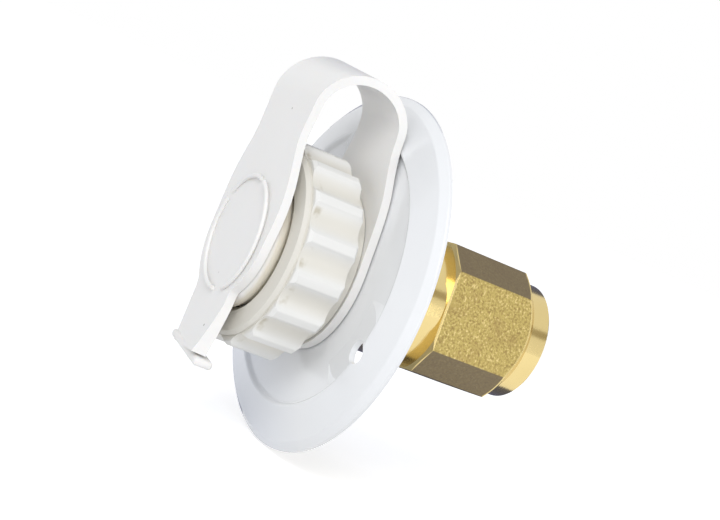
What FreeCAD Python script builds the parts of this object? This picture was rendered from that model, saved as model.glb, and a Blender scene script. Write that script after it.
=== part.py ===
import FreeCAD, Part
import math
import os

# Water inlet for the side wall of a caravan, in millimetres.
# The wall is the plane y = 0. The hose side is -Y, the plumbing side is +Y,
# and the loop of the plug's strap points up, +Z. Everything round turns about the Y axis.

# Mounting flange, pressed from coated sheet steel
flange_r = 34.925
sheet = 1.2
lip_height = 0.6
band_width = 1.5
crease_height = 1.8
slope_width = 6.525
land_inner_r = flange_r - band_width - slope_width
land_height = 3.4
floor_height = 2.6
step_width = 0.7
bend_radius = 0.6
flange_turn = 9.0

# Screw holes and the sloping pads they sit in
screw_count = 3
screw_inset = 0.9
screw_pcd = 2 * (land_inner_r - screw_inset)
screw_hole_r = 2.2
pad_length = 5.9
pad_inner_r = land_inner_r - pad_length
pad_top_r = 6.5
pad_base_r = 9.5
pad_overlap = 0.1
pad_sink = 0.03

# Brass body, outside
spigot_r = 10.6
nose_lip = 1.05
shoulder_width = 1.9
neck_r = spigot_r + shoulder_width
block_step = 0.2
block_flats = 2 * (neck_r + block_step)
block_corner_cut = 4.9
block_start = 17.35
block_front_bevel = 0.5
block_edge_radius = 0.5
block_taper_start = 35.0
rear_start = 38.4
rear_end = 42.6
rear_edge = 0.5

# Brass body, inside
nose_wall = 2.2
nose_bore_r = spigot_r - nose_wall
throat_step = 2.4
throat_r = nose_bore_r - throat_step
seat_place = 4.5
throat_length = 2.5
throat_edge = 0.5
chamber_step = 0.6
chamber_r = nose_bore_r + chamber_step
socket_step = 0.3
socket_r = chamber_r + socket_step
socket_depth = 14.0
socket_edge = 1.0
rear_wall = 2.3
rear_r = socket_r + rear_wall

# Push-on ring that holds the flange against the neck
lock_ring_width = 2.6
lock_ring_r = spigot_r + lock_ring_width
lock_ring_height = 1.2

# Spring ring that traps the coupling on the nose
snap_ring_reach = 1.6
snap_ring_r = spigot_r + snap_ring_reach
snap_ring_thick = 0.9
snap_groove_depth = 0.9
snap_ring_gap = 5.0

# Hose coupling, a moulded nut that turns on the nose
running_gap = 0.3
snap_ring_clearance = 0.55
coupling_bore_r = snap_ring_r + snap_ring_clearance
thread_relief = 0.55
washer_recess_r = coupling_bore_r + thread_relief
mouth_flare = 1.15
coupling_mouth_r = coupling_bore_r + mouth_flare
coupling_mouth_depth = 1.1
coupling_length = 14.2
coupling_lip = 2.8
hub_wall = 4.9
hub_r = spigot_r + hub_wall
hub_length = 3.0
grip_wall = 7.05
grip_r = coupling_bore_r + grip_wall
collar_step = 1.6
collar_r = grip_r - collar_step
collar_length = 1.0
grip_edge = 0.6
flute_count = 16
flute_depth = 1.5
flute_radius = 4.2
crest_radius = 0.6
grip_turn = -4.5

# Hose washer and the screen under it
screen_thick = 0.4
screen_rim_width = 1.2
screen_rim_r = spigot_r + screen_rim_width
screen_dome_inset = 1.0
screen_dome_r = nose_bore_r - screen_dome_inset
screen_dome_height = 1.8
screen_hole_r = 0.7
screen_hole_pitch = 2.3
screen_row_count = 2
washer_thick = 2.6
washer_clearance = 0.35
washer_r = coupling_bore_r - washer_clearance
washer_overlap = 0.2
washer_hole_r = nose_bore_r - washer_overlap

# Non-return valve
seal_thick = 1.6
seal_overlap = 1.8
seal_r = throat_r + seal_overlap
seal_hole_share = 0.7
seal_hole_r = seal_hole_share * throat_r
poppet_lip_share = 0.8
poppet_lip_r = poppet_lip_share * throat_r
poppet_lip = 0.7
poppet_head = 1.5
poppet_boss_share = 0.57
poppet_boss_r = poppet_boss_share * throat_r
poppet_boss = 1.4
stem_share = 0.32
stem_r = stem_share * throat_r
stem_end = 22.0
spring_wire_r = 0.4
spring_clearance = 0.5
spring_mean_r = poppet_boss_r + spring_wire_r + spring_clearance
spring_turn_count = 5
guide_front = 17.0
guide_length = 4.2
guide_hub_edge = 0.5
guide_hub_r = spring_mean_r + spring_wire_r + guide_hub_edge
guide_rim_width = 1.4
guide_rim_length = 3.0
guide_spoke_count = 3
spoke_width = 1.8
slide_gap = 0.2
fit_gap = 0.05
clip_thick = 1.0
clip_depth = 0.8
clip_width = 1.8
clip_gap = 5.0

# Plug and strap, one soft moulding
strap_gap = 0.3
strap_thick = 1.5
strap_hole_gap = 0.4
strap_ring_width = 2.4
strap_ring_r = lock_ring_r + strap_hole_gap + strap_ring_width
loop_lean = 0.9
loop_top = 36.5
loop_half_width = 9.2
leg_bend = 16.0
strap_low = 2.3
waist_sharpness = 2.1
waist_share = 0.64
strap_point_count = 10
disc_standoff = 1.7
disc_overhang = 0.85
disc_r = coupling_bore_r + disc_overhang
disc_thick = 1.6
plug_gap = 0.4
plug_length = 6.6
plug_wall = 2.0
plug_edge = 0.8
ring_mark_inset = 3.2
ring_mark_r = disc_r - ring_mark_inset
ring_mark_width = 0.9
ring_mark_height = 0.4
ring_mark_gap = 14.0
ring_mark_gap_count = 3
ring_mark_turn = 5.0
tab_half_width = 8.8
tab_corner = 2.0
tab_end = 23.4
grip_bar_half = 10.5
grip_bar_high = 1.9
grip_bar_front = 1.5
grip_bar_back = 0.7
grip_bar_edge = 0.7

# How far a cutting shape runs past what it cuts
past = 1.0

# Places along the axis that several pieces share
floor_y = -floor_height
shoulder_y = floor_y + sheet
strap_ring_back = floor_y - strap_gap
strap_ring_front = strap_ring_back - strap_thick
coupling_back = strap_ring_front - running_gap
coupling_front = coupling_back - coupling_length
lip_inner = coupling_back - coupling_lip
snap_ring_back = lip_inner - fit_gap
snap_ring_front = snap_ring_back - snap_ring_thick
nose_front = snap_ring_front - nose_lip
screen_front = nose_front - screen_thick
washer_front = screen_front - washer_thick
disc_back = coupling_front - disc_standoff
face_place = disc_thick - disc_back
loop_radius = (face_place + strap_ring_back - loop_lean) / 2.0
plug_r = coupling_bore_r - plug_gap
seal_back = seat_place + seal_thick
head_back = seal_back + poppet_head
guide_back = guide_front + guide_length
socket_floor = rear_end - socket_depth
first_hole = 90.0 + flange_turn
block_turn = flange_turn

CENTRE = FreeCAD.Vector(0, 0, 0)
AXIS = FreeCAD.Vector(0, 1, 0)


def revolved(outline):
    """Turn a closed outline of (radius, y) points about the Y axis."""
    points = [FreeCAD.Vector(r, y, 0) for r, y in outline]
    face = Part.Face(Part.makePolygon(points + points[:1]))
    return face.revolve(CENTRE, AXIS, 360.0)


def tube(inner, outer, start, end):
    """A plain ring about the Y axis between two places on it."""
    solid = Part.makeCylinder(outer, end - start, FreeCAD.Vector(0, start, 0), AXIS)
    if inner > 0:
        hole = Part.makeCylinder(inner, end - start, FreeCAD.Vector(0, start, 0), AXIS)
        solid = solid.cut(hole)
    return solid


def turned(shape, degrees):
    """A copy turned about the Y axis, so that +X goes towards +Z."""
    copy = shape.copy()
    copy.rotate(CENTRE, AXIS, -degrees)
    return copy


def patterned(shape, count, first=0.0):
    """Evenly spaced copies about the Y axis."""
    return [turned(shape, first + 360.0 * n / count) for n in range(count)]


def circles_at(shape, radius, y):
    """The round edges of a given radius at a given place on the axis."""
    found = []
    for edge in shape.Edges:
        curve = edge.Curve
        if isinstance(curve, Part.Circle):
            same_size = abs(curve.Radius - radius) < 0.01
            if same_size and abs(curve.Center.y - y) < 0.01:
                found.append(edge)
    return found


def open_ring(inner, outer, start, end, gap):
    """A spring ring with a gap of the given width at its bottom."""
    ring = tube(inner, outer, start, end)
    corner = FreeCAD.Vector(-gap / 2.0, start - past, -outer - past)
    return ring.cut(Part.makeBox(gap, end - start + 2 * past, outer, corner))


def save(shape, name):
    """Clean one piece up and write it to its own file."""
    piece = shape.removeSplitter()
    if piece.ShapeType == "Compound" and len(piece.Solids) == 1:
        piece = piece.Solids[0]
    assert piece.isValid() and len(piece.Solids) == 1, name
    piece.exportStep("parts/" + name + ".step")


def flange_side(offset):
    """The volume behind the sheet's front face, or its back face with the sheet as offset."""
    outline = [
        (0.0, 0.0),
        (flange_r - offset, 0.0),
        (flange_r - offset, min(0.0, offset - lip_height)),
        (flange_r - band_width, offset - crease_height),
        (land_inner_r, offset - land_height),
        (land_inner_r - step_width, offset - floor_height),
        (0.0, offset - floor_height),
    ]
    if offset >= lip_height:
        outline.pop(2)
    side = revolved(outline)
    if offset == 0.0:
        crease = circles_at(side, flange_r - band_width, -crease_height)
        peak = circles_at(side, land_inner_r, -land_height)
        foot = circles_at(side, land_inner_r - step_width, -floor_height)
        side = side.makeFillet(bend_radius, crease + peak + foot)
        side = side.makeFillet(bend_radius / 2.0, circles_at(side, flange_r, -lip_height))
    return side


def screw_pads(offset):
    """Sloping pads where the step fades out round each screw hole."""
    outer = land_inner_r + pad_overlap
    slope = revolved([
        (pad_inner_r, 0.0),
        (pad_inner_r, offset - floor_height),
        (outer, offset - land_height + pad_sink),
        (outer, 0.0),
    ])
    flank = revolved([
        (0.0, past),
        (pad_base_r, past),
        (pad_base_r, offset - floor_height),
        (pad_top_r, offset - land_height),
        (0.0, offset - land_height),
    ])
    flank.translate(FreeCAD.Vector(screw_pcd / 2.0, 0, 0))
    return [pad.common(slope) for pad in patterned(flank, screw_count, first_hole)]


def make_flange():
    front = flange_side(0.0).multiFuse(screw_pads(0.0))
    back = flange_side(sheet).multiFuse(screw_pads(sheet))
    hole = Part.makeCylinder(
        screw_hole_r, 2 * land_height, FreeCAD.Vector(screw_pcd / 2.0, -2 * land_height, 0), AXIS)
    holes = patterned(hole, screw_count, first_hole)
    centre_hole = tube(0, spigot_r, -2 * land_height, past)
    return front.cut(back).cut(holes + [centre_hole])


def make_block():
    """The cast block, square with its corners cut, which a spanner grips."""
    half = block_flats / 2.0
    cut = half - block_corner_cut
    corner_r = math.hypot(half, cut)
    outline = []
    for n in range(4):
        for x, z in ((half, -cut), (half, cut)):
            corner = FreeCAD.Vector(x, block_start, z)
            place = turned(Part.Vertex(corner), block_turn + 90.0 * n)
            outline.append(place.Point)
    block = Part.Face(Part.makePolygon(outline + outline[:1])).extrude(AXIS * (rear_start - block_start))
    long_edges = [e for e in block.Edges if abs(e.tangentAt(e.FirstParameter).y) > 0.99]
    block = block.makeFillet(block_edge_radius, long_edges)
    ends = revolved([
        (0.0, block_start),
        (corner_r - 2 * block_front_bevel, block_start),
        (corner_r, block_start + block_front_bevel),
        (corner_r, block_taper_start),
        (rear_r, rear_start),
        (0.0, rear_start),
    ])
    return block.common(ends)


def make_valve_body():
    turned_parts = revolved([
        (0.0, nose_front),
        (spigot_r - throat_edge, nose_front),
        (spigot_r, nose_front + throat_edge),
        (spigot_r, shoulder_y),
        (neck_r, shoulder_y),
        (neck_r, block_start),
        (rear_r, block_start),
        (rear_r, rear_end - rear_edge),
        (rear_r - rear_edge, rear_end),
        (0.0, rear_end),
    ])
    bore = revolved([
        (0.0, nose_front),
        (nose_bore_r, nose_front),
        (nose_bore_r, seat_place - throat_length),
        (throat_r, seat_place - throat_length),
        (throat_r, seat_place - throat_edge),
        (throat_r + throat_edge, seat_place),
        (chamber_r, seat_place),
        (chamber_r, guide_back),
        (chamber_r + clip_depth, guide_back),
        (chamber_r + clip_depth, guide_back + clip_thick + 2 * fit_gap),
        (chamber_r, guide_back + clip_thick + 2 * fit_gap),
        (chamber_r, socket_floor),
        (socket_r, socket_floor),
        (socket_r, rear_end - socket_edge),
        (socket_r + socket_edge, rear_end),
        (0.0, rear_end),
    ])
    groove = tube(
        spigot_r - snap_groove_depth, spigot_r + past,
        snap_ring_front - fit_gap, snap_ring_back + fit_gap)
    return turned_parts.fuse(make_block()).cut([bore, groove])


def make_coupling():
    collar_back = coupling_front + collar_length
    grip_back = coupling_back - hub_length
    grip = tube(0, grip_r, collar_back, grip_back)
    grip = grip.makeChamfer(grip_edge, circles_at(grip, grip_r, grip_back) + circles_at(grip, grip_r, collar_back))
    flute = Part.makeCylinder(
        flute_radius, coupling_length,
        FreeCAD.Vector(grip_r - flute_depth + flute_radius, coupling_front, 0), AXIS)
    half_pitch = 180.0 / flute_count
    grip = grip.cut(patterned(flute, flute_count, grip_turn + half_pitch))
    crests = [
        edge for edge in grip.Edges
        if isinstance(edge.Curve, Part.Line)
        and abs(edge.tangentAt(edge.FirstParameter).y) > 0.99]
    grip = grip.makeFillet(crest_radius, crests)
    outside = revolved([
        (0.0, coupling_front),
        (collar_r - grip_edge, coupling_front),
        (collar_r, coupling_front + grip_edge),
        (collar_r, collar_back + grip_edge),
        (hub_r, collar_back + grip_edge),
        (hub_r, coupling_back),
        (0.0, coupling_back),
    ])
    inside = revolved([
        (0.0, coupling_front),
        (coupling_mouth_r, coupling_front),
        (coupling_bore_r, coupling_front + coupling_mouth_depth),
        (coupling_bore_r, washer_front),
        (washer_recess_r, washer_front + washer_recess_r - coupling_bore_r),
        (washer_recess_r, lip_inner),
        (spigot_r + running_gap, lip_inner),
        (spigot_r + running_gap, coupling_back),
        (0.0, coupling_back),
    ])
    return grip.fuse(outside).cut(inside)


def make_screen():
    # The dome is a shallow cap whose rim is pinched between the nose and the washer.
    sphere_r = (screen_dome_r ** 2 + screen_dome_height ** 2) / (2.0 * screen_dome_height)
    centre_y = screen_front - screen_dome_height + sphere_r
    place = FreeCAD.Vector(0, centre_y, 0)
    cap = Part.makeSphere(sphere_r, place)
    cap = cap.cut(Part.makeSphere(sphere_r - screen_thick, place))
    cap = cap.common(tube(0, screen_rim_r, centre_y - sphere_r - past, nose_front))
    opening = math.sqrt((sphere_r - screen_thick) ** 2 - (centre_y - nose_front) ** 2)
    rim = tube(opening, screen_rim_r, screen_front, nose_front)
    screen = cap.fuse(rim)
    hole = Part.makeCylinder(
        screen_hole_r, 4 * screen_dome_height,
        FreeCAD.Vector(0, nose_front - 4 * screen_dome_height, 0), AXIS)
    holes = [hole]
    for row in range(1, screen_row_count + 1):
        out = hole.copy()
        out.translate(FreeCAD.Vector(row * screen_hole_pitch, 0, 0))
        holes.extend(patterned(out, 6 * row))
    return screen.cut(holes)


def make_poppet():
    throat_lip = seat_place - fit_gap
    return revolved([
        (0.0, throat_lip - poppet_lip),
        (seal_hole_r, throat_lip - poppet_lip),
        (poppet_lip_r, throat_lip - poppet_lip / 2.0),
        (poppet_lip_r, throat_lip),
        (seal_hole_r, throat_lip),
        (seal_hole_r, seal_back),
        (seal_r, seal_back),
        (seal_r, head_back),
        (poppet_boss_r, head_back),
        (poppet_boss_r, head_back + poppet_boss),
        (stem_r, head_back + poppet_boss),
        (stem_r, stem_end - stem_r / 2.0),
        (stem_r / 2.0, stem_end),
        (0.0, stem_end),
    ])


def make_spring():
    length = guide_front - head_back - 2 * spring_wire_r
    pitch = length / spring_turn_count
    lead = math.atan2(pitch, 2 * math.pi * spring_mean_r)
    along_wire = FreeCAD.Vector(0, math.cos(lead), math.sin(lead))
    wire_centre = FreeCAD.Vector(spring_mean_r, 0, 0)
    coil = []
    for n in range(spring_turn_count):
        turn = Part.makeHelix(pitch, pitch, spring_mean_r)
        turn.translate(FreeCAD.Vector(0, 0, n * pitch))
        coil.extend(turn.Edges)
    section = Part.Wire([
        Part.makeCircle(spring_wire_r, wire_centre, along_wire, 0, 180),
        Part.makeCircle(spring_wire_r, wire_centre, along_wire, 180, 360),
    ])
    spring = Part.Wire(coil).makePipeShell([section], True, True)
    spring.rotate(CENTRE, FreeCAD.Vector(1, 0, 0), -90)
    spring.translate(FreeCAD.Vector(0, head_back + spring_wire_r, 0))
    return spring


def make_guide():
    rim_r = chamber_r - fit_gap
    hub = tube(0, guide_hub_r, guide_front, guide_back)
    rim = tube(rim_r - guide_rim_width, rim_r, guide_back - guide_rim_length, guide_back)
    spoke = Part.makeBox(
        rim_r - guide_rim_width / 2.0, guide_rim_length, spoke_width,
        FreeCAD.Vector(0, guide_back - guide_rim_length, -spoke_width / 2.0))
    stem_hole = tube(0, stem_r + slide_gap, guide_front - past, guide_back + past)
    return hub.multiFuse([rim] + patterned(spoke, guide_spoke_count, 90.0)).cut(stem_hole)


def tangent_point(point, centre, radius, side):
    """Where the line from a point touches a circle in the plane of the strap's side view."""
    dy = point[0] - centre[0]
    dz = point[1] - centre[1]
    reach = math.hypot(dy, dz)
    angle = math.atan2(dz, dy) + side * math.acos(radius / reach)
    return centre[0] + radius * math.cos(angle), centre[1] + radius * math.sin(angle)


def side_point(y, z):
    """A point of the strap's side view, at the strap's edge."""
    return FreeCAD.Vector(-strap_ring_r, y, z)


def strap_band():
    """The strap in side view, from the ring over the loop to the disc, as a wide band."""
    loop_y = loop_radius - face_place
    loop_z = loop_top - loop_radius
    centre = (loop_y, loop_z)
    inner_r = loop_radius - strap_thick
    front = -face_place
    back_leg = strap_ring_back
    outer_back = tangent_point((back_leg, leg_bend), centre, loop_radius, 1)
    outer_front = (front, loop_z)
    inner_back = tangent_point((back_leg - strap_thick, leg_bend), centre, inner_r, 1)
    inner_front = (front + strap_thick, loop_z)
    over = Part.Arc(
        side_point(*outer_back), side_point(loop_y, loop_z + loop_radius), side_point(*outer_front))
    under = Part.Arc(
        side_point(*inner_front), side_point(loop_y, loop_z + inner_r), side_point(*inner_back))
    edges = [
        Part.makeLine(side_point(back_leg, strap_low), side_point(back_leg, leg_bend)),
        Part.makeLine(side_point(back_leg, leg_bend), side_point(*outer_back)),
        over.toShape(),
        Part.makeLine(side_point(*outer_front), side_point(front, strap_low)),
        Part.makeLine(side_point(front, strap_low), side_point(front + strap_thick, strap_low)),
        Part.makeLine(side_point(front + strap_thick, strap_low), side_point(*inner_front)),
        under.toShape(),
        Part.makeLine(side_point(*inner_back), side_point(back_leg - strap_thick, leg_bend)),
        Part.makeLine(side_point(back_leg - strap_thick, leg_bend), side_point(back_leg - strap_thick, strap_low)),
        Part.makeLine(side_point(back_leg - strap_thick, strap_low), side_point(back_leg, strap_low)),
    ]
    face = Part.Face(Part.Wire(edges))
    return face.extrude(FreeCAD.Vector(2 * strap_ring_r, 0, 0)), loop_y


def back_half_width(share):
    """Half the strap's width on its way from the ring (share 0) to the loop (share 1)."""
    return loop_half_width + (strap_ring_r - loop_half_width) * math.cos(share * math.pi / 2.0)


def front_half_width(share):
    """Half the strap's width on its way from the disc (share 0) to the loop (share 1)."""
    wave = 0.5 + 0.5 * math.cos(math.pi * min(1.0, share / waist_share) ** waist_sharpness)
    return loop_half_width + (disc_r - loop_half_width) * wave


def strap_outline(half_width, start, end):
    """One leg's plan outline as a block between two places, straight across the top of the loop."""
    top = loop_top - strap_thick
    heights = [strap_low + (top - strap_low) * n / strap_point_count for n in range(strap_point_count + 1)]
    right = [FreeCAD.Vector(half_width(z / top), start, z) for z in heights]
    left = [FreeCAD.Vector(-point.x, start, point.z) for point in reversed(right)]
    upper_right = right[-1] + FreeCAD.Vector(0, 0, strap_thick + past)
    upper_left = left[0] + FreeCAD.Vector(0, 0, strap_thick + past)
    sides = []
    for points in (right, left):
        curve = Part.BSplineCurve()
        curve.interpolate(points)
        sides.append(curve.toShape())
    wire = Part.Wire([
        sides[0],
        Part.makeLine(right[-1], upper_right),
        Part.makeLine(upper_right, upper_left),
        Part.makeLine(upper_left, left[0]),
        sides[1],
        Part.makeLine(left[-1], right[0]),
    ])
    return Part.Face(wire).extrude(FreeCAD.Vector(0, end - start, 0))


def make_plug_and_strap():
    band, loop_y = strap_band()
    back_leg = band.common(strap_outline(back_half_width, loop_y, 0.0))
    front_leg = band.common(strap_outline(front_half_width, -2 * face_place, loop_y))
    ring = tube(0, strap_ring_r, strap_ring_front, strap_ring_back)
    ring_hole = tube(0, lock_ring_r + strap_hole_gap, 2 * strap_ring_front, 0.0)
    disc = tube(0, disc_r, -face_place, disc_back)
    tab = Part.makeBox(
        2 * tab_half_width, disc_thick, tab_end - grip_bar_high / 2.0,
        FreeCAD.Vector(-tab_half_width, -face_place, grip_bar_high / 2.0 - tab_end))
    plate = disc.fuse(tab).removeSplitter()
    corners = []
    for edge in plate.Edges:
        along = isinstance(edge.Curve, Part.Line) and edge.BoundBox.YLength > 0.9 * disc_thick
        if along and edge.BoundBox.ZMax > tab_corner - tab_end:
            corners.append(edge)
    plate = plate.makeFillet(tab_corner, corners)
    bar = Part.makeBox(
        2 * grip_bar_half, disc_thick + grip_bar_front + grip_bar_back, grip_bar_high,
        FreeCAD.Vector(-grip_bar_half, -face_place - grip_bar_front, -tab_end))
    bar = bar.makeFillet(grip_bar_edge, bar.Edges)
    plug = tube(plug_r - plug_wall, plug_r, disc_back - plug_edge, disc_back + plug_length)
    plug = plug.makeChamfer(plug_edge, circles_at(plug, plug_r, disc_back + plug_length))
    mark = tube(
        ring_mark_r - ring_mark_width / 2.0, ring_mark_r + ring_mark_width / 2.0,
        -face_place - ring_mark_height, -face_place + ring_mark_height)
    gap_width = 2 * ring_mark_r * math.sin(math.radians(ring_mark_gap / 2.0))
    gap = Part.makeBox(
        2 * ring_mark_width, 4 * ring_mark_height, gap_width,
        FreeCAD.Vector(ring_mark_r - ring_mark_width, -face_place - 2 * ring_mark_height, -gap_width / 2.0))
    mark = mark.cut(patterned(gap, ring_mark_gap_count, ring_mark_turn))
    moulding = ring.fuse(back_leg).cut(ring_hole)
    return moulding.multiFuse([front_leg, plate, bar, plug, mark])


os.makedirs("parts", exist_ok=True)
save(make_flange(), "flange")
save(make_valve_body(), "valve_body")
save(tube(spigot_r, lock_ring_r, floor_y - lock_ring_height, floor_y), "flange_lock_ring")
save(make_coupling(), "hose_coupling")
save(open_ring(spigot_r - snap_groove_depth, snap_ring_r, snap_ring_front, snap_ring_back,
               snap_ring_gap), "coupling_snap_ring")
save(make_screen(), "inlet_screen")
save(tube(washer_hole_r, washer_r, washer_front, screen_front), "hose_washer")
save(make_poppet(), "valve_poppet")
save(tube(seal_hole_r, seal_r, seat_place, seal_back), "poppet_seal")
save(make_spring(), "valve_spring")
save(make_guide(), "poppet_guide")
save(open_ring(chamber_r + clip_depth - clip_width, chamber_r + clip_depth, guide_back,
               guide_back + clip_thick, clip_gap), "guide_clip")
save(make_plug_and_strap(), "plug_and_strap")
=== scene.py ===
import math

import bpy
from mathutils import Euler, Matrix, Vector


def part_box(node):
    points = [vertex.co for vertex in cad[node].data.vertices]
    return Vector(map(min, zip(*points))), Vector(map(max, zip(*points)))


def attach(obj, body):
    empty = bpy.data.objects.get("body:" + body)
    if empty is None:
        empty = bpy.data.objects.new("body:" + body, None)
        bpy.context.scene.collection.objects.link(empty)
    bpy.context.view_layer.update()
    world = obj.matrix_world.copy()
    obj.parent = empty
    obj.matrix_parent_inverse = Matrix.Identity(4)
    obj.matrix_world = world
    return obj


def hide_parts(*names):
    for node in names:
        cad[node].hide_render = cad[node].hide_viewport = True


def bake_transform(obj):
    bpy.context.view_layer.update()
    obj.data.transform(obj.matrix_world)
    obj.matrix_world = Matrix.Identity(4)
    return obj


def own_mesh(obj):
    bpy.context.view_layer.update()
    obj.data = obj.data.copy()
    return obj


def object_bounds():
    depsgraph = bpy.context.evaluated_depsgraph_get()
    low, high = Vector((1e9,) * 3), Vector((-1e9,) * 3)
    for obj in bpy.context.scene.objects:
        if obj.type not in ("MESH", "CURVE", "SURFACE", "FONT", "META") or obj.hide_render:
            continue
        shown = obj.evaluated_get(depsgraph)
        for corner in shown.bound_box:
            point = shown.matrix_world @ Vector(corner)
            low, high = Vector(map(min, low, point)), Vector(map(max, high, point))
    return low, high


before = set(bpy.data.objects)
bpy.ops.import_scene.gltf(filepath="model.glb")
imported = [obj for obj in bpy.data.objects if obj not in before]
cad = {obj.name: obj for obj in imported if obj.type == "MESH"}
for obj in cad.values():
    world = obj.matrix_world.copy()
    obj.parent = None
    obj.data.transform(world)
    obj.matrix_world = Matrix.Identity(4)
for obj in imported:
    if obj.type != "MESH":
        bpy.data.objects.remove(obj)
cad_low, cad_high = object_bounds()

# The studio: a camera at the photograph's angle, tilted as the photographer held it, a white floor just under
# the flange, white all round for the camera, and soft lamps that leave the pale plastic unclipped.
camera_place = Vector((0.28771, -0.15704, 0.02978))
camera_aim = Vector((0.0, 0.00352, 0.00364))
camera_roll = math.radians(24.3)
bpy.ops.object.camera_add(location=camera_place)
camera = bpy.context.object
camera.data.lens = 88.1
camera.data.sensor_width = 36.0
camera.data.clip_start = 0.01
facing = (camera_aim - camera_place).to_track_quat("-Z", "Y")
camera.rotation_euler = (facing.to_matrix() @ Euler((0.0, 0.0, camera_roll)).to_matrix()).to_euler()
bpy.context.scene.camera = camera
bpy.context.scene.view_settings.view_transform = "Standard"


def seen_or_mirrored(tree):
    """1 for a ray the camera sees directly, in a mirror or through glass, and 0 for the light on the pieces."""
    ray = tree.nodes.new("ShaderNodeLightPath")
    seen = ray.outputs["Is Camera Ray"]
    for other in ("Is Transmission Ray", "Is Glossy Ray"):
        either = tree.nodes.new("ShaderNodeMath")
        either.operation = "MAXIMUM"
        tree.links.new(seen, either.inputs[0])
        tree.links.new(ray.outputs[other], either.inputs[1])
        seen = either.outputs[0]
    return seen


floor_drop = 0.0003
floor_glow = 0.5
bpy.ops.mesh.primitive_plane_add(size=6.0, location=(0.0, 0.0, cad_low.z - floor_drop))
floor = bpy.context.object
floor.name = "floor"
white_paper = bpy.data.materials.new("white_paper")
white_paper.use_nodes = True
paper_tree = white_paper.node_tree
paper = paper_tree.nodes["Principled BSDF"]
paper.inputs["Base Color"].default_value = (0.9, 0.9, 0.9, 1.0)
paper.inputs["Roughness"].default_value = 0.9
paper.inputs["Emission Color"].default_value = (1.0, 1.0, 1.0, 1.0)
paper_glow = paper_tree.nodes.new("ShaderNodeMath")
paper_glow.operation = "MULTIPLY"
paper_glow.inputs[1].default_value = floor_glow
paper_tree.links.new(seen_or_mirrored(paper_tree), paper_glow.inputs[0])
paper_tree.links.new(paper_glow.outputs[0], paper.inputs["Emission Strength"])
floor.data.materials.append(white_paper)

surround = bpy.data.worlds.new("surround")
bpy.context.scene.world = surround
surround.use_nodes = True
sky_tree = surround.node_tree
sky_tree.nodes.clear()
sky_out = sky_tree.nodes.new("ShaderNodeOutputWorld")
sky_mix = sky_tree.nodes.new("ShaderNodeMixShader")
sky_fill = sky_tree.nodes.new("ShaderNodeBackground")
sky_fill.inputs["Color"].default_value = (0.93, 0.95, 1.0, 1.0)
sky_fill.inputs["Strength"].default_value = 0.62
sky_white = sky_tree.nodes.new("ShaderNodeBackground")
sky_white.inputs["Color"].default_value = (1.0, 1.0, 1.0, 1.0)
sky_white.inputs["Strength"].default_value = 1.0
sky_tree.links.new(seen_or_mirrored(sky_tree), sky_mix.inputs["Fac"])
sky_tree.links.new(sky_fill.outputs[0], sky_mix.inputs[1])
sky_tree.links.new(sky_white.outputs[0], sky_mix.inputs[2])
sky_tree.links.new(sky_mix.outputs[0], sky_out.inputs["Surface"])


def soft_lamp(name, place, size, power):
    """A square soft box that faces the middle of the flange."""
    bpy.ops.object.light_add(type="AREA", location=place)
    lamp = bpy.context.object
    lamp.name = name
    lamp.data.shape = "SQUARE"
    lamp.data.size = size
    lamp.data.energy = power
    lamp.rotation_euler = (-Vector(place)).to_track_quat("-Z", "Y").to_euler()


soft_lamp("key_lamp", (0.55, -0.45, 0.55), 0.5, 3.9)
soft_lamp("side_lamp", (0.75, 0.2, -0.02), 0.4, 1.1)


def dark_card(name, place, size, tone, turn=None):
    """A card that only mirrored light sees, for the darker bands on the turned brass. It faces the middle."""
    if turn is None:
        turn = Vector(place).to_track_quat("Z", "Y").to_euler()
    bpy.ops.mesh.primitive_plane_add(size=1.0, location=place, rotation=turn)
    card = bpy.context.object
    card.name = name
    card.scale = (*size, 1.0)
    card_black = bpy.data.materials.new(name)
    card_black.use_nodes = True
    black = card_black.node_tree.nodes["Principled BSDF"]
    black.inputs["Base Color"].default_value = (0.0, 0.0, 0.0, 1.0)
    black.inputs["Emission Color"].default_value = (*tone, 1.0)
    black.inputs["Emission Strength"].default_value = 1.0
    card.data.materials.append(card_black)
    card.visible_camera = False
    card.visible_diffuse = False
    card.visible_shadow = False
    card.visible_transmission = False


night_blue = (0.09, 0.10, 0.20)
dark_card("dark_wall", (-0.5, 0.36, 0.1), (1.1, 0.62), night_blue, turn=(0.0, math.pi / 2.0, 0.0))
dark_card("dark_table", (-0.096, 0.09, -0.0342), (0.2, 0.18), night_blue, turn=(0.0, 0.0, 0.0))
dark_card("brown_strip", (0.36, 0.29, 0.24), (0.5, 0.10), (0.42, 0.38, 0.30))
dark_card("lower_strip", (0.40, 0.29, -0.13), (0.5, 0.05), (0.50, 0.46, 0.36))


# The valve body, cast in brass and then turned. Its neck, nose and rear end are bright and carry fine turning
# rings. The flats of its block keep a sandy cast skin between the turned shoulder in front and the turned
# cone behind them, and on the slanting faces that skin carries painted shade, a dark brown set by how each face
# turns.
mm = 0.001


def feed(tree, socket, value):
    """Give a socket a number, or the output of another node."""
    if isinstance(value, float):
        socket.default_value = value
    else:
        tree.links.new(value, socket)


def reckon(tree, operation, first, second):
    """Reckon with two numbers or outputs."""
    step = tree.nodes.new("ShaderNodeMath")
    step.operation = operation
    feed(tree, step.inputs[0], first)
    feed(tree, step.inputs[1], second)
    return step.outputs[0]


def between(tree, value, start, end, top=1.0):
    """A mask that rises from 0 where the value is start to top where it is end."""
    step = tree.nodes.new("ShaderNodeMapRange")
    feed(tree, step.inputs["From Min"], start)
    feed(tree, step.inputs["From Max"], end)
    feed(tree, step.inputs["To Max"], top)
    tree.links.new(value, step.inputs["Value"])
    return step.outputs["Result"]


def all_of(tree, *masks):
    """A mask that is full only where all the masks are."""
    kept = masks[0]
    for mask in masks[1:]:
        kept = reckon(tree, "MULTIPLY", kept, mask)
    return kept


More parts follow.
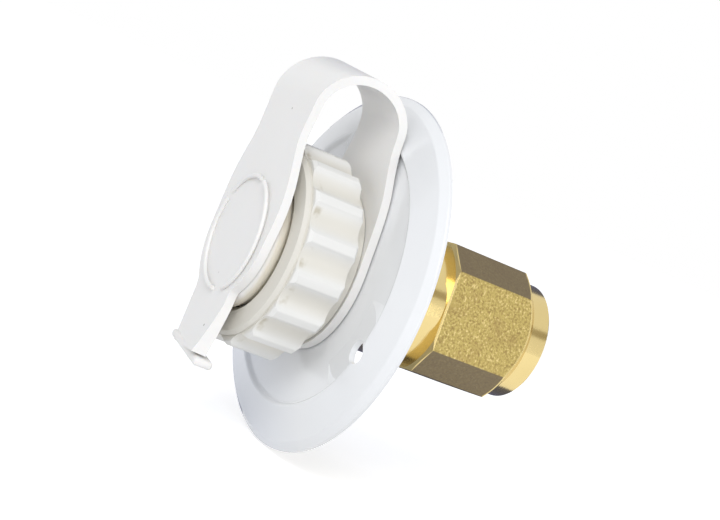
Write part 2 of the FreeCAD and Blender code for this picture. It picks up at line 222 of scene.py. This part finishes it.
def noise(tree, scale, detail=2.0, height=None):
    """Soft noise in the piece's own coordinates, or by a single height."""
    clouds = tree.nodes.new("ShaderNodeTexNoise")
    feed(tree, clouds.inputs["Scale"], scale)
    clouds.inputs["Detail"].default_value = detail
    if height is None:
        place = tree.nodes.new("ShaderNodeTexCoord")
        tree.links.new(place.outputs["Object"], clouds.inputs["Vector"])
    else:
        clouds.noise_dimensions = "1D"
        tree.links.new(height, clouds.inputs["W"])
    return clouds.outputs["Fac"]


def relief(tree, height, strength, distance, below=None):
    """A normal that follows a height, over the normal of the relief below it."""
    bump = tree.nodes.new("ShaderNodeBump")
    feed(tree, bump.inputs["Strength"], strength)
    feed(tree, bump.inputs["Distance"], distance)
    tree.links.new(height, bump.inputs["Height"])
    if below is not None:
        tree.links.new(below, bump.inputs["Normal"])
    return bump.outputs["Normal"]


def share_along(tree, reading, direction):
    """How far a point, or the way its surface faces, lies along a direction."""
    place = tree.nodes.new("ShaderNodeTexCoord")
    share = tree.nodes.new("ShaderNodeVectorMath")
    share.operation = "DOT_PRODUCT"
    share.inputs[1].default_value = direction
    tree.links.new(place.outputs[reading], share.inputs[0])
    return share.outputs["Value"]


def new_group(name, inputs, outputs):
    """An empty node group with named inputs and outputs."""
    group = bpy.data.node_groups.new(name, "ShaderNodeTree")
    for title, kind in inputs.items():
        group.interface.new_socket(name=title, in_out="INPUT", socket_type="NodeSocket" + kind)
    for title, kind in outputs.items():
        group.interface.new_socket(name=title, in_out="OUTPUT", socket_type="NodeSocket" + kind)
    return group, group.nodes.new("NodeGroupInput").outputs, group.nodes.new("NodeGroupOutput").inputs


def with_group(tree, group, **settings):
    """Place a node group in a material, with this material's values."""
    placed = tree.nodes.new("ShaderNodeGroup")
    placed.node_tree = group
    for title, value in settings.items():
        placed.inputs[title].default_value = value
    return placed


colour_share, colour_from, colour_to = 0, 6, 7
value_share, value_from, value_to = 0, 2, 3

wander_group, wander_in, wander_out = new_group(
    "wandering_finish",
    {"Pale": "Color", "Dark": "Color", "Grain": "Float", "Gloss": "Float", "Relief": "Float"},
    {"Color": "Color", "Roughness": "Float", "Normal": "Vector"})
wander_clouds = noise(wander_group, wander_in["Grain"], 5.0)
wander_tint = wander_group.nodes.new("ShaderNodeMix")
wander_tint.data_type = "RGBA"
wander_group.links.new(wander_clouds, wander_tint.inputs[colour_share])
wander_group.links.new(wander_in["Dark"], wander_tint.inputs[colour_from])
wander_group.links.new(wander_in["Pale"], wander_tint.inputs[colour_to])
wander_gloss = wander_group.nodes.new("ShaderNodeMapRange")
wander_group.links.new(wander_clouds, wander_gloss.inputs["Value"])
wander_group.links.new(reckon(wander_group, "MULTIPLY", wander_in["Gloss"], 0.8), wander_gloss.inputs["To Min"])
wander_group.links.new(reckon(wander_group, "MULTIPLY", wander_in["Gloss"], 1.2), wander_gloss.inputs["To Max"])
wander_pores = noise(wander_group, reckon(wander_group, "MULTIPLY", wander_in["Grain"], 12.0), 3.0)
wander_group.links.new(wander_tint.outputs[2], wander_out["Color"])
wander_group.links.new(wander_gloss.outputs["Result"], wander_out["Roughness"])
wander_group.links.new(relief(wander_group, wander_pores, 0.6, wander_in["Relief"]), wander_out["Normal"])

axis_group, axis_in, axis_out = new_group("place_about_axis", {}, {"Reach": "Float", "Along": "Float"})
axis_place = axis_group.nodes.new("ShaderNodeTexCoord")
axis_flat = axis_group.nodes.new("ShaderNodeVectorMath")
axis_flat.operation = "MULTIPLY"
axis_flat.inputs[1].default_value = (1.0, 0.0, 1.0)
axis_reach = axis_group.nodes.new("ShaderNodeVectorMath")
axis_reach.operation = "LENGTH"
axis_parts = axis_group.nodes.new("ShaderNodeSeparateXYZ")
axis_group.links.new(axis_place.outputs["Object"], axis_flat.inputs[0])
axis_group.links.new(axis_flat.outputs["Vector"], axis_reach.inputs[0])
axis_group.links.new(axis_place.outputs["Object"], axis_parts.inputs["Vector"])
axis_group.links.new(axis_reach.outputs["Value"], axis_out["Reach"])
axis_group.links.new(axis_parts.outputs["Y"], axis_out["Along"])


def surface(name, pale, dark, grain, gloss, pores, metallic=0.0):
    """A material whose colour, gloss and relief wander a little over the piece."""
    made = bpy.data.materials.new(name)
    made.use_nodes = True
    tree = made.node_tree
    shader = tree.nodes["Principled BSDF"]
    shader.inputs["Metallic"].default_value = metallic
    wander = with_group(
        tree, wander_group, Pale=(*pale, 1.0), Dark=(*dark, 1.0), Grain=grain, Gloss=gloss, Relief=pores)
    wander.name = "wander"
    tree.links.new(wander.outputs["Color"], shader.inputs["Base Color"])
    tree.links.new(wander.outputs["Roughness"], shader.inputs["Roughness"])
    tree.links.new(wander.outputs["Normal"], shader.inputs["Normal"])
    return made


def about_axis(tree):
    """How far a point lies from the product's axis, and where it lies along it."""
    placed = with_group(tree, axis_group)
    return placed.outputs["Reach"], placed.outputs["Along"]


def lay_over(tree, mask, colour):
    """Lay another colour over a material where a mask is full."""
    shader = tree.nodes["Principled BSDF"]
    layer = tree.nodes.new("ShaderNodeMix")
    layer.data_type = "RGBA"
    layer.inputs[colour_to].default_value = (*colour, 1.0)
    tree.links.new(mask, layer.inputs[colour_share])
    tree.links.new(shader.inputs["Base Color"].links[0].from_socket, layer.inputs[colour_from])
    tree.links.new(layer.outputs[2], shader.inputs["Base Color"])


def dress(node, finish):
    """Give a solid its finish."""
    solid = cad[node]
    if not solid.data.materials:
        solid.data.materials.append(finish)
    for slot in solid.material_slots:
        slot.material = finish


brass = surface("brass", (0.78, 0.63, 0.30), (0.68, 0.53, 0.23), 90.0, 0.17, 0.01 * mm, metallic=1.0)
brass_tree = brass.node_tree
brass_shader = brass_tree.nodes["Principled BSDF"]
brass_wander = brass_tree.nodes["wander"].outputs
brass_reach, brass_along = about_axis(brass_tree)
cone_slope = 0.97
cone_gauge = reckon(brass_tree, "ADD", reckon(brass_tree, "MULTIPLY", brass_along, cone_slope), brass_reach)
outside_neck = between(brass_tree, brass_reach, 12.56 * mm, 12.60 * mm)
behind_shoulder = between(brass_tree, brass_along, 17.8 * mm, 18.0 * mm)
before_cone = between(brass_tree, cone_gauge, 48.7 * mm, 48.5 * mm)
cast = all_of(brass_tree, outside_neck, behind_shoulder, before_cone)
middle_flat = (0.988, 0.0, 0.156)
slant_shade_mask = between(brass_tree, share_along(brass_tree, "Normal", middle_flat), 0.95, 0.82, top=0.85)
sand = noise(brass_tree, 2200.0, 4.0)
stains = noise(brass_tree, 160.0, 6.0)
lay_over(brass_tree, cast, (0.50, 0.395, 0.14))
lay_over(brass_tree, all_of(brass_tree, cast, between(brass_tree, sand, 0.50, 0.66, top=0.75)), (0.28, 0.19, 0.075))
lay_over(brass_tree, all_of(brass_tree, cast, between(brass_tree, sand, 0.42, 0.33, top=0.60)), (0.86, 0.70, 0.36))
lay_over(brass_tree, all_of(brass_tree, cast, between(brass_tree, stains, 0.52, 0.66, top=0.40)), (0.36, 0.25, 0.10))
# Painted shade: the cast skin turns dark brown on the faces that turn away from the middle flat.
lay_over(brass_tree, all_of(brass_tree, cast, slant_shade_mask), (0.17, 0.135, 0.095))
cast_roughness = 0.52
dull = brass_tree.nodes.new("ShaderNodeMix")
brass_tree.links.new(cast, dull.inputs[value_share])
brass_tree.links.new(brass_wander["Roughness"], dull.inputs[value_from])
dull.inputs[value_to].default_value = cast_roughness
brass_tree.links.new(dull.outputs[0], brass_shader.inputs["Roughness"])
tool_marks = noise(brass_tree, 4500.0, height=brass_along)
turning_rings = relief(brass_tree, tool_marks, 0.25, 0.02 * mm, below=brass_wander["Normal"])
grit = relief(brass_tree, sand, cast, 0.12 * mm, below=turning_rings)
brass_tree.links.new(grit, brass_shader.inputs["Normal"])
dress("valve_body", brass)


# The pipe thread in the rear end, cut into the same brass. Its crests stand in a bright socket that takes the
# water pipe.
def close_up(piece, bevel=0.0, angle=35.0):
    """Merge a finished mesh's doubles, turn its faces outward, round its edges and smooth it."""
    bpy.ops.object.select_all(action="DESELECT")
    piece.select_set(True)
    bpy.context.view_layer.objects.active = piece
    bpy.ops.object.mode_set(mode="EDIT")
    bpy.ops.mesh.select_all(action="SELECT")
    bpy.ops.mesh.remove_doubles(threshold=0.01 * mm)
    bpy.ops.mesh.normals_make_consistent(inside=False)
    bpy.ops.object.mode_set(mode="OBJECT")
    if bevel > 0.0:
        rounding = piece.modifiers.new("rounding", "BEVEL")
        rounding.width = bevel
        rounding.segments = 2
        rounding.limit_method = "ANGLE"
        rounding.angle_limit = math.radians(angle)
        bpy.ops.object.modifier_apply(modifier=rounding.name)
    bpy.ops.object.shade_smooth_by_angle(angle=math.radians(32.0))


def set_down(piece, location=(0.0, 0.0, 0.0), rotation=(0.0, 0.0, 0.0), scale=(1.0, 1.0, 1.0)):
    """Put a piece's place, turn and scale into its mesh."""
    piece.location = location
    piece.rotation_euler = rotation
    piece.scale = scale
    bpy.ops.object.transform_apply(location=True, rotation=True, scale=True)


def wind_up(piece, pitch, turns, steps, start):
    """Wind a section into a coil along the Y axis from a start, and close its two ends."""
    wind = piece.modifiers.new("wind", "SCREW")
    wind.axis = "Z"
    wind.screw_offset = pitch
    wind.iterations = turns
    wind.steps = steps
    wind.render_steps = steps
    bpy.ops.object.modifier_apply(modifier=wind.name)
    bpy.ops.object.mode_set(mode="EDIT")
    bpy.ops.mesh.select_all(action="SELECT")
    bpy.ops.mesh.remove_doubles(threshold=0.005 * mm)
    bpy.ops.mesh.select_all(action="SELECT")
    bpy.ops.mesh.fill_holes(sides=12)
    bpy.ops.object.mode_set(mode="OBJECT")
    set_down(piece, location=(0.0, start, 0.0), rotation=(-math.pi / 2.0, 0.0, 0.0))
    close_up(piece)


def thread_ridge(name, wall_r, crest_r, pitch, start, turns):
    """A V-shaped ridge that winds along a bore, its foot sunk into the wall."""
    bpy.ops.object.select_all(action="DESELECT")
    foot = 0.1 * mm
    depth = wall_r + foot - crest_r
    bpy.ops.mesh.primitive_circle_add(vertices=3, radius=1.0, location=(0.0, 0.0, 0.0), fill_type="NOTHING")
    ridge = bpy.context.object
    ridge.name = name
    set_down(ridge, rotation=(0.0, 0.0, math.pi / 2.0))
    set_down(ridge, scale=(depth / 1.5, 0.5 * pitch, 1.0))
    set_down(ridge, location=(crest_r + depth / 1.5, 0.0, 0.0), rotation=(math.pi / 2.0, 0.0, 0.0))
    wind_up(ridge, pitch, turns, 72, start)
    return ridge


pipe_thread = thread_ridge("pipe_thread", 9.3 * mm, 8.6 * mm, 1.81 * mm, 31.4 * mm, 6)
pipe_thread.data.materials.append(brass)
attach(pipe_thread, "inlet")


# The poppet of the non-return valve and the spoked guide of its stem, moulded in a smooth off-white plastic.
# The poppet slides in the guide, behind the seat in the brass body.
acetal = surface("valve_plastic", (0.82, 0.82, 0.79), (0.77, 0.77, 0.74), 120.0, 0.38, 0.02 * mm)
for name in ("valve_poppet", "poppet_guide"):
    dress(name, acetal)


# The poppet's seal and the coupling's washer, both cut and moulded in black rubber with a dull, finely pored
# skin. The seal is stretched over the poppet, and the washer lies at the bottom of the coupling.
rubber = surface("black_rubber", (0.040, 0.040, 0.042), (0.022, 0.022, 0.022), 180.0, 0.6, 0.04 * mm)
for name in ("hose_washer", "poppet_seal"):
    dress(name, rubber)


# The rings that hold the flange, the coupling and the guide, bent or stamped from bright spring steel and
# snapped into their grooves.
steel = surface("spring_steel", (0.64, 0.64, 0.65), (0.50, 0.50, 0.51), 220.0, 0.28, 0.01 * mm, metallic=1.0)
for name in ("flange_lock_ring", "coupling_snap_ring", "guide_clip", "valve_spring"):
    dress(name, steel)


# The valve spring, wound from round steel wire. It is drawn at its length at rest; in use it shortens against
# the guide as the poppet lifts.
bpy.ops.object.select_all(action="DESELECT")
spring_low, spring_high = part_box("valve_spring")
spring_length = spring_high[1] - spring_low[1]
spring_turns = 5
wire_r = 0.4 * mm
bpy.ops.mesh.primitive_circle_add(
    vertices=12, radius=wire_r, location=(spring_high[0] - wire_r, 0.0, 0.0), rotation=(math.pi / 2.0, 0.0, 0.0),
    fill_type="NOTHING")
spring = bpy.context.object
spring.name = "spring_coil"
bpy.ops.object.transform_apply(location=True, rotation=True, scale=True)
wind_up(spring, (spring_length - 2.0 * wire_r) / spring_turns, spring_turns, 48, spring_low[1] + wire_r)
spring.data.materials.append(steel)
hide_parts("valve_spring")
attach(spring, "inlet")
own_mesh(spring)


# The inlet screen, a dome pressed from thin perforated stainless sheet and pushed into the nose, where it
# keeps grit out of the valve.
screen_steel = surface("screen_steel", (0.70, 0.71, 0.72), (0.55, 0.56, 0.57), 400.0, 0.35, 0.02 * mm, metallic=1.0)
dress("inlet_screen", screen_steel)


# The flange, pressed from sheet and coated with a smooth white enamel. Its coat is glossy and carries painted
# shade, a bluer tint towards the lower left, and it has taken a few dark specks in use. Its pressed form is the
# solid's own.
speck_group, speck_in, speck_out = new_group(
    "round_specks", {"Pitch": "Float", "Size": "Float", "Share": "Float"}, {"Mask": "Float"})
speck_place = speck_group.nodes.new("ShaderNodeTexCoord")
speck_cells = speck_group.nodes.new("ShaderNodeTexVoronoi")
speck_pick = speck_group.nodes.new("ShaderNodeSeparateColor")
speck_group.links.new(speck_place.outputs["Object"], speck_cells.inputs["Vector"])
speck_group.links.new(reckon(speck_group, "DIVIDE", 1.0, speck_in["Pitch"]), speck_cells.inputs["Scale"])
speck_group.links.new(speck_cells.outputs["Color"], speck_pick.inputs["Color"])
speck_distance = reckon(speck_group, "MULTIPLY", speck_cells.outputs["Distance"], speck_in["Pitch"])
speck_core = reckon(speck_group, "MULTIPLY", speck_in["Size"], 0.6)
speck_dots = between(speck_group, speck_distance, speck_in["Size"], speck_core)
speck_luck = reckon(speck_group, "ADD", speck_pick.outputs["Red"], speck_in["Share"])
speck_kept = between(speck_group, speck_luck, 1.0, 1.001)
speck_group.links.new(all_of(speck_group, speck_dots, speck_kept), speck_out["Mask"])


def specks(tree, pitch, size, share):
    """A mask of small round specks, about one per pitch, of which only a share is kept."""
    return with_group(tree, speck_group, Pitch=pitch, Size=size, Share=share).outputs["Mask"]


enamel = surface("flange_enamel", (0.84, 0.85, 0.855), (0.80, 0.81, 0.82), 55.0, 0.2, 0.02 * mm)
enamel_tree = enamel.node_tree
enamel_tree.nodes["Principled BSDF"].inputs["Coat Weight"].default_value = 0.35
lower_left_shade = share_along(enamel_tree, "Object", (-0.8, 0.0, -0.6))
# Painted shade: a bluer tint that grows towards the lower left of the flange.
lay_over(enamel_tree, between(enamel_tree, lower_left_shade, 4.0 * mm, 34.0 * mm, top=0.55), (0.60, 0.66, 0.80))
lay_over(enamel_tree, specks(enamel_tree, 6.0 * mm, 0.4 * mm, 0.3), (0.22, 0.19, 0.17))
dress("flange", enamel)


# The hose coupling, a moulded nut in warm white plastic. The hollows of its flutes carry painted shade, creamier
# than the crests, and a darker painted shade, broken up by noise, lies where each flute runs out against the collar.
white = surface("white_plastic", (0.80, 0.795, 0.77), (0.755, 0.75, 0.72), 70.0, 0.36, 0.03 * mm)
white_tree = white.node_tree
flute_reach, flute_along = about_axis(white_tree)
# Painted shade: the flute hollows, nearer the axis than the crests, turn creamier.
lay_over(white_tree, between(white_tree, flute_reach, 19.3 * mm, 18.3 * mm, top=0.55), (0.66, 0.62, 0.52))
# Painted shade, broken up by noise: a darker brown in the corners where the flutes run out against the collar.
flute_runout = all_of(
    white_tree, between(white_tree, flute_along, -15.8 * mm, -16.6 * mm),
    between(white_tree, flute_along, -17.6 * mm, -17.3 * mm),
    between(white_tree, flute_reach, 19.1 * mm, 18.7 * mm),
    between(white_tree, flute_reach, 17.6 * mm, 17.9 * mm))
runout_shade_patches = between(white_tree, noise(white_tree, 420.0), 0.5, 0.66, top=0.6)
lay_over(white_tree, all_of(white_tree, flute_runout, runout_shade_patches), (0.42, 0.37, 0.25))
dress("hose_coupling", white)


# The hose thread inside the coupling, moulded with it in the same white plastic: a low V-shaped ridge that
# winds along the bore between the mouth and the washer. The plug slides in past its crests.
coupling_thread = thread_ridge("coupling_thread", 12.75 * mm, 12.45 * mm, 2.21 * mm, -17.0 * mm, 2)
coupling_thread.data.materials.append(white)
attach(coupling_thread, "coupling")


# The plug and its strap, one soft vinyl moulding: it is moulded flat as a ring, a waisted strap and a disc
# with a hollow plug on its back, and is then folded over so that the plug reaches the coupling. The fold
# runs the loop a little aslant and leaves the disc and the tab twisted, as the photograph shows.
strap_low, strap_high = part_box("plug_and_strap")
strap_thick = 1.65 * mm
strap_back = strap_high.y
strap_front = strap_back - strap_thick
ring_radius = -strap_low.x
ring_hole_r = 13.6 * mm
loop_radius = 9.0 * mm
loop_middle = Vector((0.0, strap_back - 0.9 * mm - loop_radius, 35.7 * mm - loop_radius))
back_half_width = 8.0 * mm
loop_half_width = 9.3 * mm
back_aside = 2.0 * mm
front_aside = -1.7 * mm
loop_tilt = math.radians(4.6)
disc_radius = 13.5 * mm
disc_twist = math.radians(3.4)
leg_bend = 16.0 * mm
leg_lean = math.radians(4.8)
tab_half_width = 8.6 * mm
tab_foot = -22.6 * mm


def held(share):
    """A share kept between 0 and 1."""
    return max(0.0, min(1.0, share))


def eased(share):
    """A share from 0 to 1 that starts and ends softly."""
    share = held(share)
    return share * share * (3.0 - 2.0 * share)


def back_half(z):
    """Half the strap's width above the ring."""
    swell = math.cos(held(z / (26.0 * mm)) * math.pi / 2.0) ** 1.6
    return back_half_width + (ring_radius - back_half_width) * swell


def front_half(z):
    """Half the strap's width above the disc."""
    swell = 0.5 + 0.5 * math.cos(math.pi * held(z / (20.5 * mm)) ** 1.8)
    return loop_half_width + (disc_radius - loop_half_width) * swell


def draw_row(half, shift=None, turn=0.0, aside=0.0, tilt=0.0, twist=0.0, thicker=1.0):
    """Draw the strap's end face on by a shift or round the loop, then set its width, angles and thickness."""
    global row_half, row_place
    if shift is not None:
        bpy.ops.mesh.extrude_region_move(TRANSFORM_OT_translate={"value": shift})
        row_place = row_place + Vector(shift)
    else:
        sideways = Vector((aside, 0.0, 0.0))
        bpy.ops.mesh.extrude_region_move(TRANSFORM_OT_translate={"value": sideways})
        bpy.ops.transform.rotate(value=-turn, orient_axis="X", center_override=loop_middle)
        row_place = loop_middle + Matrix.Rotation(turn, 3, "X") @ (row_place - loop_middle) + sideways
    bpy.ops.transform.resize(value=(half / row_half, 1.0, 1.0), center_override=row_place)
    if thicker != 1.0:
        behind = row_place + Vector((0.0, strap_thick / 2.0, 0.0))
        bpy.ops.transform.resize(value=(1.0, thicker, 1.0), center_override=behind)
    if tilt != 0.0:
        bpy.ops.transform.rotate(value=-tilt, orient_axis="Y", center_override=row_place)
    if twist != 0.0:
        bpy.ops.transform.rotate(value=-twist, orient_axis="Z", center_override=row_place)
    row_half = half


# The flat strip is drawn on row by row: up over the ring, round the loop and down over the disc to the tab.
bpy.ops.object.select_all(action="DESELECT")
ring_steps = 16
first_angle = math.radians(4.0)
row_half = ring_radius * math.sin(first_angle)
row_place = Vector((0.0, (strap_back + strap_front) / 2.0, -ring_radius * math.cos(first_angle)))
bpy.ops.mesh.primitive_plane_add(size=1.0, location=row_place)
strap = bpy.context.object
strap.name = "plug_strap"
strap.scale = (2.0 * row_half, strap_thick, 1.0)
bpy.ops.object.transform_apply(location=True, rotation=True, scale=True)
bpy.ops.object.mode_set(mode="EDIT")
bpy.ops.mesh.select_all(action="SELECT")
for n in range(1, ring_steps + 1):
    angle = first_angle + (math.pi / 2.0 - first_angle) * n / ring_steps
    draw_row(ring_radius * math.sin(angle), shift=(0.0, 0.0, -ring_radius * math.cos(angle) - row_place.z))
leg_steps = 16
leg_top = loop_middle.z + loop_radius * math.sin(leg_lean)
for n in range(1, leg_steps + 1):
    there = leg_top * n / leg_steps
    lean = leg_lean * held((there - leg_bend) / (4.0 * mm))
    rise = there - row_place.z
    aside = back_aside * eased((there - 4.0 * mm) / (14.0 * mm)) - row_place.x
    draw_row(back_half(there), shift=(aside, -rise * math.tan(lean), rise))
loop_steps = 32
loop_turn = (math.pi - leg_lean) / loop_steps
for n in range(1, loop_steps + 1):
    angle = leg_lean + loop_turn * n
    way = eased(n / loop_steps)
    draw_row(
        back_half_width + (loop_half_width - back_half_width) * way, turn=loop_turn,
        aside=back_aside + (front_aside - back_aside) * way - row_place.x,
        tilt=loop_tilt * (math.sin(angle) - math.sin(angle - loop_turn)))
front_steps = 12
for n in range(1, front_steps + 1):
    there = loop_middle.z * (1.0 - n / front_steps)
    aside = front_aside * eased((there - 4.0 * mm) / (18.0 * mm)) - row_place.x
    draw_row(
        front_half(there), shift=(aside, -0.2 * mm / front_steps, there - row_place.z),
        twist=-disc_twist / front_steps)
disc_steps = 9
tab_corner = math.asin(tab_half_width / disc_radius)
for n in range(1, disc_steps + 1):
    angle = math.pi / 2.0 - (math.pi / 2.0 - tab_corner) * n / (disc_steps + 0.5)
    draw_row(disc_radius * math.sin(angle), shift=(0.0, 0.0, -disc_radius * math.cos(angle) - row_place.z))
for drop, wider in ((0.5, 0.2), (0.6, 0.04), (0.8, -0.04), (1.0, -0.04)):
    draw_row(tab_half_width + wider * mm, shift=(0.08 * mm, 0.0, -drop * mm))
tab_steps = 7
tab_twist = math.radians(-0.5)
tab_drop = (tab_foot - row_place.z) / tab_steps
for n in range(tab_steps):
    draw_row(tab_half_width, shift=(0.1 * mm, 0.0, tab_drop), twist=tab_twist, thicker=1.085)
bpy.ops.object.mode_set(mode="OBJECT")


def cut_with(piece, cutter, operation):
    """Cut one mesh with another, or join them into one skin, and drop the other."""
    bpy.ops.object.select_all(action="DESELECT")
    piece.select_set(True)
    bpy.context.view_layer.objects.active = piece
    knife = piece.modifiers.new("cut", "BOOLEAN")
    knife.operation = operation
    knife.solver = "EXACT"
    knife.object = cutter
    bpy.ops.object.modifier_apply(modifier=knife.name)
    bpy.data.objects.remove(cutter)


def turned(name, outline):
    """A round piece about the Y axis, drawn out of a circle from one (radius, y) station to the next."""
    bpy.ops.object.select_all(action="DESELECT")
    first_r, first_y = outline[0]
    bpy.ops.mesh.primitive_circle_add(
        vertices=96, radius=first_r, location=(0.0, first_y, 0.0), rotation=(math.pi / 2.0, 0.0, 0.0))
    piece = bpy.context.object
    piece.name = name
    bpy.ops.object.transform_apply(location=True, rotation=True, scale=True)
    bpy.ops.object.mode_set(mode="EDIT")
    bpy.ops.mesh.select_all(action="SELECT")
    here_r, here_y = first_r, first_y
    for there_r, there_y in outline[1:] + outline[:1]:
        bpy.ops.mesh.extrude_edges_move(TRANSFORM_OT_translate={"value": (0.0, there_y - here_y, 0.0)})
        ratio = there_r / here_r
        bpy.ops.transform.resize(value=(ratio, 1.0, ratio), center_override=(0.0, there_y, 0.0))
        here_r, here_y = there_r, there_y
    bpy.ops.mesh.select_all(action="SELECT")
    bpy.ops.mesh.remove_doubles(threshold=0.01 * mm)
    bpy.ops.mesh.normals_make_consistent(inside=False)
    bpy.ops.object.mode_set(mode="OBJECT")
    return piece


# The ring's hole, the hollow plug behind the disc, and the rounded grip bar at the end of the tab.
hole_reach = 1.0 * mm
ring_hole = turned("ring_hole", [
    (ring_hole_r, strap_front - hole_reach), (ring_hole_r, strap_back + hole_reach),
    (0.1 * mm, strap_back + hole_reach), (0.1 * mm, strap_front - hole_reach)])
close_up(strap)
cut_with(strap, ring_hole, "DIFFERENCE")

plug_shell = turned("plug_shell", [
    (9.8 * mm, -20.9 * mm), (12.7 * mm, -20.9 * mm), (13.15 * mm, -20.3 * mm), (13.35 * mm, -19.8 * mm),
    (13.3 * mm, -19.2 * mm), (12.95 * mm, -18.7 * mm), (12.35 * mm, -18.2 * mm), (12.35 * mm, -14.7 * mm),
    (12.1 * mm, -14.2 * mm), (11.6 * mm, -13.9 * mm), (10.9 * mm, -13.9 * mm), (10.4 * mm, -14.4 * mm),
    (10.3 * mm, -20.0 * mm), (9.8 * mm, -20.4 * mm)])
cut_with(strap, plug_shell, "UNION")

bar_middle = (1.5 * mm, -21.55 * mm, -22.6 * mm)
bpy.ops.mesh.primitive_cube_add(size=1.0, location=bar_middle)
bar = bpy.context.object
bar.scale = (18.3 * mm, 3.7 * mm, 1.6 * mm)
bpy.ops.object.transform_apply(location=True, rotation=True, scale=True)
bpy.ops.object.mode_set(mode="EDIT")
bpy.ops.mesh.select_all(action="SELECT")
bpy.ops.transform.rotate(value=math.radians(6.4), orient_axis="Z", center_override=bar_middle)
bpy.ops.transform.rotate(value=math.radians(-2.0), orient_axis="Y", center_override=bar_middle)
bpy.ops.mesh.bevel(offset=0.62 * mm, segments=4, affect="EDGES")
bpy.ops.object.mode_set(mode="OBJECT")
cut_with(strap, bar, "UNION")
close_up(strap, bevel=0.22 * mm, angle=52.0)

# The raised ring mark on the disc's face, in three low rounded ribs with gaps between them.
mark_radius = 10.9 * mm
mark_half_width = 0.45 * mm
mark_rise = 0.42 * mm
face_y = -22.42 * mm
for turn, sweep in ((-85.0, 118.0), (-214.0, 62.0), (-285.0, 138.0)):
    bpy.ops.object.select_all(action="DESELECT")
    bpy.ops.mesh.primitive_circle_add(vertices=12, radius=1.0, location=(mark_radius, 0.0, 0.0), fill_type="NGON")
    rib = bpy.context.object
    rib.scale = (mark_half_width, mark_rise, 1.0)
    bpy.ops.object.transform_apply(location=True, rotation=True, scale=True)
    bpy.ops.object.mode_set(mode="EDIT")
    bpy.ops.mesh.select_all(action="SELECT")
    bpy.ops.transform.rotate(value=math.radians(turn), orient_axis="Y", center_override=(0.0, 0.0, 0.0))
    bpy.ops.mesh.spin(
        steps=40, angle=math.radians(sweep), center=(0.0, 0.0, 0.0), axis=(0.0, -1.0, 0.0))
    bpy.ops.mesh.select_all(action="SELECT")
    bpy.ops.transform.translate(value=(0.0, face_y, 0.0))
    bpy.ops.transform.rotate(value=disc_twist, orient_axis="Z", center_override=(0.0, face_y, 0.0))
    bpy.ops.object.mode_set(mode="OBJECT")
    close_up(rib)
    bpy.ops.object.select_all(action="DESELECT")
    rib.select_set(True)
    strap.select_set(True)
    bpy.context.view_layer.objects.active = strap
    bpy.ops.object.join()

# The vinyl, a matt off-white that lets a little light in. The plug's side carries painted shade, yellower, where it
# sits in the coupling's mouth.
vinyl = surface("soft_vinyl", (0.87, 0.86, 0.84), (0.825, 0.815, 0.79), 80.0, 0.42, 0.04 * mm)
vinyl_tree = vinyl.node_tree
vinyl_tree.nodes["Principled BSDF"].inputs["Subsurface Weight"].default_value = 0.12
vinyl_tree.nodes["Principled BSDF"].inputs["Subsurface Radius"].default_value = (0.0012, 0.0009, 0.0006)
strap_reach, strap_along = about_axis(vinyl_tree)
plug_side_shade = all_of(
    vinyl_tree, between(vinyl_tree, strap_along, -20.7 * mm, -20.0 * mm, top=0.75),
    between(vinyl_tree, strap_along, -13.4 * mm, -13.6 * mm),
    between(vinyl_tree, strap_reach, 14.0 * mm, 13.8 * mm))
# Painted shade on the plug's side, in the gap between the disc and the coupling's mouth.
lay_over(vinyl_tree, plug_side_shade, (0.66, 0.60, 0.47))
lay_over(vinyl_tree, specks(vinyl_tree, 7.0 * mm, 0.3 * mm, 0.2), (0.30, 0.27, 0.23))
strap.data.materials.clear()
strap.data.materials.append(vinyl)
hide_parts("plug_and_strap")
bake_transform(strap)
